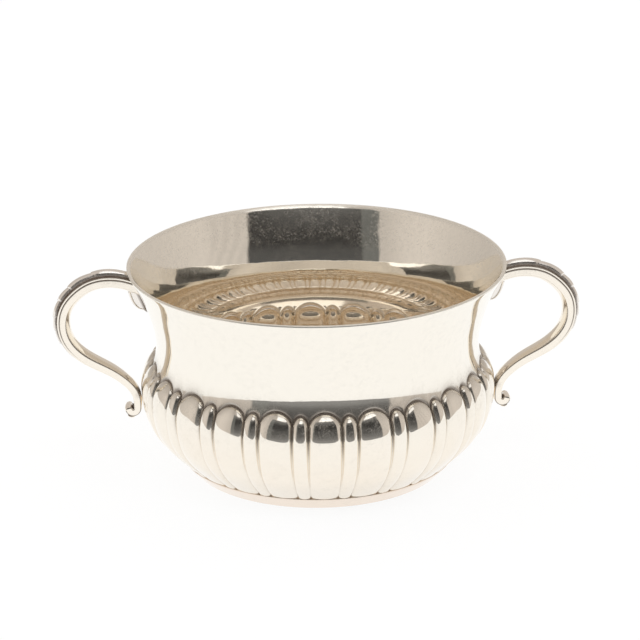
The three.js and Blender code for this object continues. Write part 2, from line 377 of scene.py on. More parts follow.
# Studio. Turns and heights are in degrees, and turn 0 is the front. Room: level of the warm grey
# all the way round, from behind by the left, and the folds of a curtain, whose slope is by turn
# and height
WARM_GREY = np.array([1.085, 1.0, 0.925])
ROOM_LEVELS = [
    (0.0, 0.58), (0.11, 0.5), (0.2, 0.57), (0.27, 0.66), (0.31, 0.63), (0.35, 0.52),
    (0.635, 0.56), (0.7, 0.57), (0.73, 0.63), (0.85, 0.56), (1.0, 0.58),
]
FOLD_TURN = (50, 78)
FOLD_BLUR = 5
FOLD_SLOPE = (0.75, 0.25)
FOLD_DEPTH = 0.05

# Opening: grey tones from its lowest height up, as shares of its span, and a paler strip at its
# left side
OPENING_TURN = (-48.5, 47.0)
OPENING_BLUR = 1.2
OPENING_TOP = 49.5
OPENING_TOP_BLUR = 1
OPENING_LOWEST = -30
OPENING_SPAN = 80
OPENING_TONES = [
    (0.0, 0.35), (0.29, 0.24), (0.37, 0.15), (0.5, 0.08), (0.6, 0.06),
    (0.7, 0.02), (0.82, 0.02), (0.88, 0.07), (0.95, 0.16),
]
STRIP_TURN = (-60, -36)
STRIP_BLUR = 1
STRIP_SHARE = 0.45
STRIP_COLOUR = (0.24, 0.25, 0.24)

# Soft box and ceiling
SOFT_BOX_TURN = (-28.0, 55.0)
SOFT_BOX_BLUR = 3
SOFT_BOX_HEIGHT = (50.5, 72.0)
SOFT_BOX_HEIGHT_BLUR = 1
SOFT_BOX_TONE = 1.5
CEILING_HEIGHT = (74.0, 78.0)
CEILING_TONE = 1.1

# Floor: its colour, how much of its own light the camera sees and how bright that is, and how
# bright the floor is in the metal
FLOOR_REACH = 4000.0
FLOOR_FRONT = -205.0
FLOOR_COLOUR = (0.77, 0.8, 0.83, 1)
FLOOR_GLOW_SHARE = 0.72
FLOOR_GLOW = 1.22
FLOOR_IN_METAL = 1.03
GLOSSY_BOUNCES = 10


def mix(start, end, share):
    return start + (end - start) * share


def fade(value, start, end, full=1):
    """Goes smoothly from 0 at start to full at end."""
    share = np.clip((value - start) / (end - start), 0, 1)
    return full * share * share * (3 - 2 * share)


def bell(value, centre, half_width, full=1):
    """Full at the centre, and falls off to both sides."""
    return full * np.exp(-(((value - centre) / half_width) ** 2))


def gathered_at_ends(count):
    """Places from -1 to 1, closer together towards both ends."""
    return np.sin(np.linspace(-math.pi / 2, math.pi / 2, count))


def gathered_at_start(count, power):
    """Places from 0 to 1, closer together towards 0."""
    return np.linspace(0, 1, count) ** power


def distances(points):
    """Distance along a row of points, from 0 at the first."""
    return np.concatenate([[0], np.cumsum(np.linalg.norm(np.diff(points, axis=0), axis=1))])


def cubic(knots, points, fine):
    """Natural cubic spline through points at the knots, read at the fine places."""
    count = len(knots)
    gaps = np.diff(knots)
    system = np.eye(count)
    rhs = np.zeros((count, 2))
    for i in range(1, count - 1):
        system[i, i - 1:i + 2] = gaps[i - 1], 2 * (gaps[i - 1] + gaps[i]), gaps[i]
        rise_after = (points[i + 1] - points[i]) / gaps[i]
        rise_before = (points[i] - points[i - 1]) / gaps[i - 1]
        rhs[i] = 6 * (rise_after - rise_before)
    bend = np.linalg.solve(system, rhs)
    i = np.clip(np.searchsorted(knots, fine, side="right") - 1, 0, count - 2)
    gap = gaps[i][:, None]
    after = (fine - knots[i])[:, None]
    before = gap - after
    ends = (bend[i] * before**3 + bend[i + 1] * after**3) / (6 * gap)
    start = (points[i] / gap - bend[i] * gap / 6) * before
    end = (points[i + 1] / gap - bend[i + 1] * gap / 6) * after
    return ends + start + end


class Line:
    """A curve in a plane, made of close points and read by distance along it."""

    def __init__(self, points):
        self.points = points
        self.distance = distances(points)
        self.length = self.distance[-1]
        slope = np.gradient(points, self.distance, axis=0)
        self.slope = slope / np.linalg.norm(slope, axis=1, keepdims=True)

    def read(self, values, at):
        at = np.asarray(at, float)
        return np.stack([np.interp(at, self.distance, values[:, axis]) for axis in (0, 1)], -1)

    def point(self, at):
        return self.read(self.points, at)

    def tangent(self, at):
        return self.read(self.slope, at)


def smooth_line(points, smoothing, count=1600):
    """A line of even curvature through, or close to, a few points."""
    points = np.array(points, float)
    knots = distances(points)
    dense = cubic(knots, points, np.linspace(0, knots[-1], count))
    for _ in range(smoothing):
        dense[1:-1] = (dense[:-2] + 2 * dense[1:-1] + dense[2:]) / 4
    return Line(dense)


def ring(radius, height, turn):
    """Points round the axis at the angles of turn."""
    return np.stack(np.broadcast_arrays(radius * np.cos(turn), radius * np.sin(turn), height), -1)


def round_rows(outline, turn):
    """Plain rings from an outline of radius and height."""
    return [ring(radius, height, turn) for radius, height in outline]


def full_circle(count):
    return np.linspace(0, 2 * math.pi, count, endpoint=False)


def quads_between(pairs, column_count):
    """Faces between pairs of rings, each ring given by the number of its first point."""
    across = np.arange(column_count)
    next_across = (across + 1) % column_count
    quads = [
        np.stack([low + across, low + next_across, high + next_across, high + across], 1)
        for low, high in pairs
    ]
    return np.concatenate(quads).tolist()


def add_object(name, data):
    made = bpy.data.objects.new(name, data)
    bpy.context.scene.collection.objects.link(made)
    return made


def add_smooth(name, points, faces):
    """Makes a smooth object from points in millimetres."""
    mesh = bpy.data.meshes.new(name)
    mesh.from_pydata((points * MM).tolist(), [], faces)
    mesh.shade_smooth()
    return add_object(name, mesh)


def add_closed(name, rows, layers):
    """Makes an object from a grid of points: rows of rings, closed with a fan at both ends.

    The layers say how stained or painted with shade (tarnish_and_shade), yellowed (film), rubbed or
    dull each point of the grid is.
    """
    row_count, column_count = rows.shape[:2]
    points = np.concatenate([rows.reshape(-1, 3), [rows[0].mean(0), rows[-1].mean(0)]])
    starts = np.arange(row_count) * column_count
    faces = quads_between(zip(starts[:-1], starts[1:]), column_count)
    across = np.arange(column_count)
    next_across = (across + 1) % column_count
    middle = np.full(column_count, row_count * column_count)
    faces += np.stack([next_across, across, middle], 1).tolist()
    faces += np.stack([starts[-1] + across, starts[-1] + next_across, middle + 1], 1).tolist()
    piece = add_smooth(name, points, faces)
    for label, values in layers.items():
        layer = piece.data.attributes.new(label, "FLOAT", "POINT")
        layer.data.foreach_set("value", np.concatenate([values.ravel(), [FAN_WEAR, FAN_WEAR]]))
    return piece


def add_ring(name, outline, column_count):
    """A closed ring turned from an outline whose last point meets its first."""
    points = np.concatenate(round_rows(outline, full_circle(column_count)))
    starts = np.arange(len(outline)) * column_count
    return add_smooth(name, points, quads_between(zip(starts, np.roll(starts, -1)), column_count))


# Bowl
body_line = smooth_line(BODY_LINE, BODY_SMOOTHING)
PITCH = 2 * math.pi / LOBE_PAIRS
BROAD_HALF = BROAD_SHARE / 2
NARROW_HALF = 0.5 - BROAD_HALF


def distance_at_height(height):
    return float(np.interp(height, body_line.points[:, 1], body_line.distance))


broad_apex = distance_at_height(BROAD_APEX_HEIGHT)
narrow_apex = distance_at_height(NARROW_APEX_HEIGHT)
arch_spring = broad_apex - ARCH_LENGTH


def lobe_columns():
    """Angles of the columns, their places in a pair of lobes and their tops.

    The columns are closer together near the grooves. A top is how far up the body line a lobe ends.
    """
    broad = gathered_at_ends(BROAD_COLUMNS + 1)[:-1]
    narrow = gathered_at_ends(NARROW_COLUMNS + 1)[:-1]
    places = np.concatenate([BROAD_HALF * broad, 0.5 + NARROW_HALF * narrow])
    across = np.concatenate([broad, narrow])
    apex = np.concatenate([np.full(len(broad), broad_apex), np.full(len(narrow), narrow_apex)])
    top = arch_spring + (apex - arch_spring) * np.sqrt(1 - across**2)
    angles = np.concatenate([-math.pi / 2 + (pair + places) * PITCH for pair in range(LOBE_PAIRS)])
    waves = [size * np.sin(count * angles + start) for size, count, start in LOBE_TURN_WAVES]
    by_hand = np.radians(LOBE_TURN + sum(waves))
    return angles + by_hand, np.tile(places, LOBE_PAIRS), np.tile(top, LOBE_PAIRS)


column_angle, column_place, column_top = lobe_columns()


def lobe_field(place, at, half, apex, middle):
    """How far out in its lobe a point is, 1 at the edge, and its distance past the edge."""
    offset = np.abs((place - middle + 0.5) % 1 - 0.5)
    across = offset / half
    up = np.clip((at - arch_spring) / (apex - arch_spring), 0, None)
    field = np.maximum(np.hypot(across, up), LEAST_DIVISOR)
    half_width = half * PITCH * body_line.point(at)[..., 0]
    grow = np.hypot(across / half_width, up / (apex - arch_spring)) / field
    return field, (field - 1) / np.maximum(grow, LEAST_DIVISOR)


def relief(place, at):
    """Height over the groove level, and how tarnished the point is."""
    broad, past_broad = lobe_field(place, at, BROAD_HALF, broad_apex, 0.0)
    narrow, past_narrow = lobe_field(place, at, NARROW_HALF, narrow_apex, 0.5)
    past = np.minimum(past_broad, past_narrow)
    up = fade(at, 0, arch_spring)
    pillow = np.clip(1 - np.minimum(broad, narrow) ** LOBE_FLATNESS, 0, 1) ** LOBE_FLANK
    lobe = mix(LOBE_RISE_AT_FOOT, LOBE_RISE, up) * pillow
    groove = mix(GROOVE_DEPTH_AT_FOOT, GROOVE_DEPTH, up) * bell(past, 0, GROOVE_HALF_WIDTH)
    near_arch = fade(at, GROOVE_STAIN_CHANGE * arch_spring, arch_spring)
    half_width = mix(*GROOVE_STAIN_HALF_WIDTHS, near_arch)
    stain_and_shade = bell(past, GROOVE_STAIN_PLACE, half_width, mix(*GROOVE_STAINS, near_arch))
    over_arch = np.maximum(bell(past, *ANGLE_STAIN), bell(past, *SMUDGE))
    over_arch = over_arch * fade(at, arch_spring, arch_spring + ARCH_STAIN_RISE)
    return lobe - groove, np.maximum(stain_and_shade, over_arch)


def body_rows(places, inside):
    """Rows of points on the outside or inside of the body, and how tarnished they are.

    Each row is given by how far up the body line it is at every column.
    """
    rows, stains_and_shade = [], []
    for at in places:
        point = body_line.point(at)
        slope = body_line.tangent(at)
        out, stain_and_shade = relief(column_place, at + INNER_ARCH_DROP * inside)
        if inside:
            up = point[:, 1]
            neck = fade(up, *NECK_THICKENS) * (1 - fade(up, *NECK_THINS))
            out = INNER_RELIEF * out - WALL - neck
            stain_and_shade = np.maximum(INNER_GROOVE_STAIN * stain_and_shade, fade(up, *INNER_STAIN))
        radius = point[:, 0] + slope[:, 1] * out
        height = point[:, 1] - slope[:, 0] * out
        rows.append(ring(radius, height, column_angle))
        stains_and_shade.append(stain_and_shade)
    return rows, stains_and_shade


def lip_outline():
    """Half-round bead on the end of the body line, from outside to inside."""
    across, up = body_line.slope[-1]
    lean = math.atan2(across, up)
    middle = body_line.points[-1] + LIP_RADIUS * np.array([-up, across])
    return [
        (middle[0] + LIP_RADIUS * math.cos(turn), middle[1] + LIP_RADIUS * math.sin(turn))
        for turn in np.linspace(-lean, math.pi - lean, LIP_ROWS + 2)[1:-1]
    ]


def bowl_wear(up, inside):
    """Film, rubbed and dull layers of the bowl by height."""
    inner_rubbed = INNER_RUBBED_LEAST + fade(up, *INNER_RUBBED)
    outer_rubbed = fade(up, *OUTER_RUBBED_BELOW) * fade(up, *OUTER_RUBBED_ABOVE)
    inner_dull = fade(up, *INNER_DULL) + fade(up, *FLOOR_DULL)
    dull = np.where(inside, inner_dull, fade(up, *OUTER_DULL))
    return {
        "film": np.where(inside, fade(up, *INNER_FILM), fade(up, *OUTER_FILM)),
        "rubbed": np.where(inside, inner_rubbed, outer_rubbed),
        "dull": np.maximum(dull, fade(up, *LIP_DULL)),
    }


def make_bowl():
    """One skin, from the middle of the underside out, over the lip and back down inside."""
    end = body_line.length
    lobes = [mix(column_top, 0, share) for share in gathered_at_start(*OUTER_LOBE_ROWS)[::-1]]
    neck = [mix(column_top, end, share) for share in gathered_at_start(*OUTER_NECK_ROWS)[1:]]
    outer, outer_stain = body_rows(lobes + neck, inside=False)

    # Inside, the row at the arches is in both lists, and that crease catches the light
    top = column_top - INNER_ARCH_DROP
    neck = [mix(top, end, share) for share in gathered_at_start(*INNER_NECK_ROWS)[::-1]]
    lobes = [mix(top, 0, share) for share in gathered_at_start(*INNER_LOBE_ROWS)]
    inner, inner_stain = body_rows(neck + lobes, inside=True)

    underside = round_rows(UNDERSIDE, column_angle)
    lip = round_rows(lip_outline(), column_angle)
    inner_floor = round_rows(INNER_FLOOR, column_angle)
    rows = np.array(underside + outer + lip + inner + inner_floor)
    plain = np.zeros(len(column_angle))
    stain_and_shade = [plain] * len(underside) + outer_stain + [plain] * len(lip)
    stain_and_shade += inner_stain + [plain + FLOOR_STAIN] * len(inner_floor)
    inside = np.arange(len(rows))[:, None] >= len(underside) + len(outer) + len(lip)
    layers = {"tarnish_and_shade": np.array(stain_and_shade), **bowl_wear(rows[:, :, 2], inside)}
    return add_closed("silver_bowl", rows, layers)


def make_foot():
    return add_ring("silver_foot", FOOT_OUTLINE, FOOT_COLUMNS)


# Handles
strap_line = smooth_line(STRAP_LINE, STRAP_SMOOTHING)
strap_length = strap_line.length
end_across, end_up = STRAP_LINE[-1]


def make_handle_line():
    """The strap line with the curl at its lower end."""
    turn = math.pi + np.linspace(0, CURL_TURN, 200)[1:]
    across = end_across + CURL_RADIUS + CURL_RADIUS * np.cos(turn)
    up = end_up + CURL_RADIUS * np.sin(turn)
    return Line(np.concatenate([strap_line.points, np.stack([across, up], -1)]))


handle_line = make_handle_line()


def beside_handle(at, across, outward):
    """Points beside the handle line: outwards from the finger side, and across the breadth."""
    point = handle_line.point(at)
    slope = handle_line.tangent(at)
    x = point[..., 0] - slope[..., 1] * outward
    z = point[..., 1] + slope[..., 0] * outward
    return np.stack(np.broadcast_arrays(x, across, z), -1)


def strap_sizes(at):
    """Half breadth, inner rounding, side face and rise of the cove."""
    taper = fade(at / strap_length, *STRAP_TAPER)
    return [mix(*ends, taper) for ends in (HALF_BREADTHS, INNER_ROUNDS, SIDE_FACES, COVE_RISES)]


def strap_section(at):
    """Half outline of the strap, from the middle of its finger side to the middle of its cove.

    Each point has its place across, its distance outwards and its darkening: painted shade and
    painted reflection along the edges, and tarnish with painted shade in the cove.
    """
    half, inner_round, side, cove = strap_sizes(at)
    edge = inner_round + side
    inner_share = fade(at / strap_length, *INNER_EDGE_SHADE_STARTS)
    outer_share = 1 - fade(at / strap_length, *OUTER_EDGE_SHADE_ENDS)
    points = [
        (half * share, inner_round * share**INNER_ROUND_POWER, 0.0)
        for share in np.linspace(0, 1, 10)[:-1]
    ]
    # Painted shade in the crease at the inner edge; painted reflection of the dark opening at the
    # outer edge, the corner and the foot of the fillet; tarnish and painted shade in the cove
    for distance, stain_and_shade in INNER_EDGE_SHADE:
        points.append((half, inner_round + distance, stain_and_shade * inner_share))
    for distance, stain_and_shade in OUTER_EDGE_SHADE:
        points.append((half, edge - CORNER - distance, stain_and_shade * outer_share))
    for turn in np.linspace(0.3, math.pi / 2, 4):
        across = half - CORNER * (1 - math.cos(turn))
        outward = edge - CORNER * (1 - math.sin(turn))
        points.append((across, outward, CORNER_SHADE * outer_share))
    for distance, rise, stain_and_shade in FILLET:
        points.append((half - distance, edge + rise * cove / COVE_RISES[0], stain_and_shade))
    for turn in np.linspace(0.1, math.pi / 2, 5):
        across = half * mix(*COVE_ACROSS, math.sin(turn))
        outward = edge + cove * max(COVE_LEAST_RISE, 1 - math.cos(turn))
        points.append((across, outward, COVE_STAIN_AND_SHADE + COVE_STAIN_AND_SHADE_GROWTH * turn))
    return points


def outer_radius(height):
    """Radius of the bowl's outside at a height, without lobes."""
    return np.interp(height, body_line.points[:, 1], body_line.points[:, 0])


def press_into_wall(points):
    """Keeps what starts inside the bowl in the thickness of its wall."""
    radius = np.hypot(points[..., 0], points[..., 1])
    least = outer_radius(points[..., 2]) - DEPTH_IN_WALL
    grow = np.where(radius < least, least / np.maximum(radius, LEAST_DIVISOR), 1)
    return points * np.stack([grow, grow, np.ones_like(grow)], -1)


def curl_end(tip):
    """Rows that round off the curl, from its last section."""
    middle = tip.mean(0)
    across, up = handle_line.tangent(handle_line.length)
    rows = []
    for turn in np.linspace(0, math.pi / 2, CURL_END_ROWS + 1)[1:]:
        thin = max(math.cos(turn), CURL_END_LEAST)
        shrink = (thin, mix(CURL_END_BREADTH, 1, thin), thin)
        forward = np.array([across, 0, up]) * CURL_END_ROUND * math.sin(turn)
        rows.append(middle + (tip - middle) * shrink + forward)
    return rows


def make_strap():
    """The strap and its curl: its section carried along the handle line."""
    along_strap = np.linspace(0, strap_length, STRAP_ROWS)
    along_curl = np.linspace(strap_length, handle_line.length, CURL_ROWS + 1)[1:]
    rows, stains_and_shade = [], []
    for at in np.concatenate([along_strap, along_curl]):
        half_outline = strap_section(at)
        mirrored = [(-across, outward, stain_and_shade) for across, outward, stain_and_shade in half_outline[:0:-1]]
        across, outward, stain_and_shade = np.array(half_outline + mirrored).T
        rows.append(beside_handle(at, across, outward))
        stains_and_shade.append(stain_and_shade)
    rows += curl_end(rows[-1])
    stains_and_shade += [np.zeros_like(stains_and_shade[0])] * CURL_END_ROWS
    rows = press_into_wall(np.array(rows))
    x, y, z = np.moveaxis(rows, -1, 0)
    # Painted shade where the strap comes close to the lobes near the lower joint
    gap = np.hypot(x, y) - outer_radius(z) - LOBE_RISE
    joint = JOINT_SHADE * (1 - fade(gap, 0, JOINT_SHADE_REACH))
    joint = joint * fade(z, *JOINT_SHADE_FROM) * (z < JOINT_SHADE_TO)
    stain_and_shade = np.maximum(np.array(stains_and_shade), joint)
    return rows, {"tarnish_and_shade": stain_and_shade, "dull": COVE_DULL * stain_and_shade * (stain_and_shade < COVE_DULL_BELOW)}


def make_pip():
    """Flattened ball in the curl."""
    x = end_across + CURL_RADIUS + PIP_OUT
    z = end_up - CURL_RADIUS - PIP_DOWN
    turn = full_circle(PIP_COLUMNS)
    rows = [
        ring(math.cos(polar), math.sin(polar), turn) * PIP_RADII + (x, 0, z)
        for polar in np.linspace(-math.pi / 2, math.pi / 2, PIP_ROWS + 2)[1:-1]
    ]
    rows = np.array(rows)
    # Painted shade on the upper half of the pip, under the curl
    return rows, {"tarnish_and_shade": fade(rows[..., 2] - z, *PIP_SHADE)}


def husk_heights(stations, across, scale):
    """Height of the lapping husks over their seat."""
    half_width = HUSK_HALF_WIDTH * scale
    height = np.full(across.shape, -RAIL_GAP_DEPTH)
    start = RAIL_START
    for length in HUSK_LENGTHS:
        reach = length + HUSK_LAP * np.interp(start, stations, half_width[:, 0])
        along = (stations - start)[:, None] / reach
        tongue = np.clip((along - TONGUE_START) / (1 - TONGUE_START), 0, 1)
        width = half_width * mix(HUSK_START_WIDTH, 1, fade(along, 0, HUSK_WIDEST))
        width = width * np.sqrt(1 - tongue**TONGUE_POWER)
        swell = HUSK_HEIGHT * scale * mix(HUSK_START_HEIGHT, 1, fade(along, 0, HUSK_HIGHEST))
        swell = swell * mix(1, TONGUE_HEIGHT, tongue)
        out = np.abs(across) / np.maximum(width, LEAST_DIVISOR)
        inside = np.clip(1 - out**HUSK_FLATNESS, 0, 1)
        on_husk = (along >= 0) & (along < 1) & (inside > 0)
        height = np.maximum(height, np.where(on_husk, swell * np.sqrt(inside), -RAIL_GAP_DEPTH))
        start += length
    return height


def make_rail():
    """The husks on a fine grid along and across the strap, over a flat underside in the cove."""
    rail_length = sum(HUSK_LENGTHS)
    stations = np.linspace(RAIL_START, RAIL_START + rail_length + RAIL_PAST_END, RAIL_ROWS)
    scale = mix(1, RAIL_END_SCALE, fade(stations / rail_length, *RAIL_TAPER))[:, None]
    across = gathered_at_ends(RAIL_COLUMNS) * RAIL_BREADTH * HUSK_HALF_WIDTH * scale
    height = husk_heights(stations, across, scale)
    _, inner_round, side, cove = strap_sizes(stations)
    seats = inner_round + side + cove - RAIL_SUNK
    rows = []
    for at, places, rises, seat in zip(stations, across, height, seats):
        top = beside_handle(at, places, seat + rises)
        bottom = beside_handle(at, places[::-1], seat - RAIL_UNDERSIDE_DEPTH)
        rows.append(np.concatenate([top, bottom]))
    # Painted shade on the low parts of the husks, between them and on the underside
    low = 1 - fade(height / (HUSK_HEIGHT * scale), *HUSK_SHADE_FADE_HEIGHTS)
    low = np.concatenate([low, np.ones_like(low)], axis=1)
    return press_into_wall(np.array(rows)), {"tarnish_and_shade": HUSK_SHADE * low, "dull": low}


def make_drop():
    """Half-round leaf laid on the neck, full at the top and pointed below."""
    ridge = smooth_line(DROP_RIDGE, DROP_SMOOTHING)
    turn = np.linspace(0, math.pi, DROP_COLUMNS)
    roundness = np.sin(turn) * (1 - DROP_HOLLOW * np.abs(np.cos(turn)) * np.sin(turn))
    rows, stains_and_shade = [], []
    for up in np.linspace(0, 1, DROP_ROWS):
        height, proud = ridge.point(up * ridge.length)
        at = distance_at_height(height)
        point = body_line.point(at)
        slope = body_line.tangent(at)
        half_width = DROP_HALF_WIDTH * math.sin(mix(*DROP_WIDTH_ANGLES, up))
        out = mix(-DROP_SUNK, proud, roundness)
        x = point[0] + slope[1] * out
        z = point[1] - slope[0] * out
        rows.append(np.stack([x, -half_width * np.cos(turn), z], -1))
        # Painted shade in the crevice along the neck and at the tip
        tip_shade = DROP_TIP_SHADE * (1 - fade(up, *DROP_SHADE_END_UP))
        stains_and_shade.append(np.maximum(1 - fade(out, *DROP_SHADE_END_OUT), tip_shade))
    return np.array(rows), {"tarnish_and_shade": np.array(stains_and_shade)}


def turned(rows, side):
    """The left handle is the right one turned half round the bowl."""
    return rows if side == "right" else rows * (-1, -1, 1)


# Every piece with the node that it replaces and its material slot
pieces = [(make_bowl(), "bowl", "bowl_silver"), (make_foot(), "foot_ring", "foot_silver")]
handle_parts = [
    ("scroll_strap", "handle_strap", "handle_silver", make_strap()),
    ("curl_pip", "handle_strap", "handle_silver", make_pip()),
    ("husks", "husk_rail", "husk_silver", make_rail()),
    ("leaf", "leaf_drop", "husk_silver", make_drop()),
]
for side in ("right", "left"):
    for name, node, slot, (rows, layers) in handle_parts:
        piece = add_closed(f"{side}_{name}", turned(rows, side), layers)
        pieces.append((piece, f"{side}_{node}", slot))


class Nodes:
    """Short names for adding shader nodes to the tree of a material or world."""

    def __init__(self, owner):
        owner.use_nodes = True
        self.tree = owner.node_tree
        self.tree.nodes.clear()

    def add(self, kind, **settings):
        node = self.tree.nodes.new(kind)
        for key, value in settings.items():
            setattr(node, key, value)
        return node

    def put(self, socket, value):
        if hasattr(value, "is_output"):
            self.tree.links.new(value, socket)
        else:
            socket.default_value = value

    def math(self, operation, *values):
        node = self.add("ShaderNodeMath", operation=operation)
        for socket, value in zip(node.inputs, values):
            self.put(socket, value)
        return node.outputs[0]

    def times(self, first, second):
        return self.math("MULTIPLY", first, second)

    def times_plus(self, value, factor, added):
        return self.math("MULTIPLY_ADD", value, factor, added)

    def step(self, value, start, end):
        """Rises smoothly from 0 at start to 1 at end."""
        node = self.add("ShaderNodeMapRange", interpolation_type="SMOOTHSTEP")
        for name, number in (("Value", value), ("From Min", start), ("From Max", end)):
            self.put(node.inputs[name], number)
        return node.outputs[0]

    def window(self, value, low, high, blur):
        """1 between two values, with soft edges."""
        rise = self.step(value, low - blur, low + blur)
        fall = self.step(value, high - blur, high + blur)
        return self.math("SUBTRACT", rise, fall)

    def layer(self, name):
        return self.add("ShaderNodeAttribute", attribute_name=name).outputs["Fac"]

    def mapped(self, vector, scale, turn):
        node = self.add("ShaderNodeMapping")
        self.put(node.inputs["Vector"], vector)
        node.inputs["Rotation"].default_value = turn
        node.inputs["Scale"].default_value = scale
        return node.outputs[0]

    def noise(self, vector, scale, detail, roughness):
        node = self.add("ShaderNodeTexNoise")
        self.put(node.inputs["Vector"], vector)
        node.inputs["Scale"].default_value = scale
        node.inputs["Detail"].default_value = detail
        node.inputs["Roughness"].default_value = roughness
        return node.outputs[0]

    def bump(self, height, depth, under=None):
        """Relief on the surface, with its depth in millimetres, and the relief under it."""
        node = self.add("ShaderNodeBump")
        self.put(node.inputs["Height"], height)
        node.inputs["Distance"].default_value = depth * MM
        if under:
            self.put(node.inputs["Normal"], under)
        return node.outputs[0]

    def ramp(self, value, stops):
        """Colours along a value, as a list of place and colour."""
        node = self.add("ShaderNodeValToRGB")
        self.put(node.inputs[0], value)
        elements = node.color_ramp.elements
        while len(elements) < len(stops):
            elements.new(0.5)
        for element, (place, colour) in zip(elements, stops):
            element.position = place
            element.color = (*colour, 1)
        return node.outputs["Color"]

    def blend(self, share, first, second):
        node = self.add("ShaderNodeMix", data_type="RGBA")
        self.put(node.inputs[0], share)
        self.put(node.inputs[6], first if hasattr(first, "is_output") else (*first, 1))
        self.put(node.inputs[7], second if hasattr(second, "is_output") else (*second, 1))
        return node.outputs[2]

    def mix_shaders(self, share, first, second):
        node = self.add("ShaderNodeMixShader")
        for socket, value in zip(node.inputs, (share, first, second)):
            self.put(socket, value)
        return node.outputs[0]

    def glow(self, strength):
        node = self.add("ShaderNodeEmission")
        node.inputs["Strength"].default_value = strength
        return node.outputs[0]

    def finish(self, kind, surface):
        self.put(self.add(kind).inputs["Surface"], surface)


def grey(tone):
    return (tone, tone, tone)


def make_silver(name, colour, haze, roughness):
    """Used silver: cloudy film, fine scratches, tarnished hollows, painted shade and a surface
    shaped by hand.
    """
    material = bpy.data.materials.new(name)
    nodes = Nodes(material)
    place = nodes.add("ShaderNodeTexCoord").outputs["Object"]
    tarnish_and_shade = nodes.layer("tarnish_and_shade")
    rubbed = nodes.layer("rubbed")
    dull = nodes.layer("dull")

    # Patterns: broad patches with finer clouds in them, specks where it is rubbed, and scratches
    patches = nodes.noise(place, *PATCHES)
    in_patches = nodes.step(patches, *PATCH_LEVELS)
    clouds = nodes.times(nodes.step(nodes.noise(place, *CLOUDS), *CLOUD_LEVELS), in_patches)
    specks = nodes.step(nodes.noise(place, *SPECKS), *SPECK_LEVELS)
    speck_share = nodes.times(nodes.step(rubbed, *SPECKS_ON_RUBBED), in_patches)
    specks = nodes.times(specks, speck_share)
    scratches = nodes.noise(nodes.mapped(place, SCRATCH_SCALE, SCRATCH_TURN), *SCRATCHES)
    marks = nodes.math("MAXIMUM", specks, nodes.step(scratches, *SCRATCH_LEVELS))

    # Colour
    film = nodes.times(nodes.layer("film"), nodes.times_plus(patches, *FILM_BY_PATCHES))
    uneven = nodes.times_plus(nodes.math("MAXIMUM", clouds, patches), *STAIN_AND_SHADE_BY_CLOUDS)
    # Darkening towards brown from the tarnish_and_shade layer: tarnish on the bowl, painted shade
    # and painted reflections on the handles
    stain_and_shade = nodes.math("MINIMUM", nodes.times(tarnish_and_shade, uneven), 1.0)
    tone = nodes.blend(stain_and_shade, nodes.blend(film, colour, FILM), TARNISH_AND_SHADE_BROWN)

    # How bare the metal is
    veil = nodes.times_plus(marks, VEIL_BY_MARKS, nodes.times_plus(clouds, *VEIL_BY_CLOUDS))
    worn = nodes.times(rubbed, nodes.times_plus(clouds, *WORN_BY_CLOUDS))
    veil = nodes.math("ADD", worn, nodes.times_plus(specks, VEIL_BY_SPECKS, veil))
    bare = nodes.times_plus(dull, BARE_BY_DULL, nodes.times_plus(veil, -haze, 1))
    bare = nodes.times_plus(stain_and_shade, BARE_BY_STAIN_AND_SHADE, bare)

    # Roughness
    rough = nodes.times_plus(clouds, ROUGH_BY_CLOUDS, roughness)
    rough = nodes.times_plus(tarnish_and_shade, ROUGH_BY_TARNISH_AND_SHADE, rough)
    rough = nodes.times_plus(nodes.math("POWER", dull, 2), ROUGH_BY_DULL, rough)
    rough = nodes.times_plus(marks, ROUGH_BY_MARKS, rough)

    # Waves left by the hammer, grain and marks
    surface = nodes.bump(nodes.noise(place, *WAVES), WAVE_DEPTH)
    surface = nodes.bump(nodes.noise(place, *GRAIN), GRAIN_DEPTH, surface)
    surface = nodes.bump(marks, MARK_DEPTH, surface)

    shader = nodes.add("ShaderNodeBsdfPrincipled")
    nodes.put(shader.inputs["Base Color"], tone)
    nodes.put(shader.inputs["Metallic"], bare)
    nodes.put(shader.inputs["Roughness"], rough)
    nodes.put(shader.inputs["Normal"], surface)
    nodes.finish("ShaderNodeOutputMaterial", shader.outputs[0])
    return material


silvers = {name: make_silver(name, *settings) for name, settings in SILVERS.items()}
for piece, node, slot in pieces:
    piece.data.materials.append(silvers[slot])
    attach(piece, "root")
    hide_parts(node)


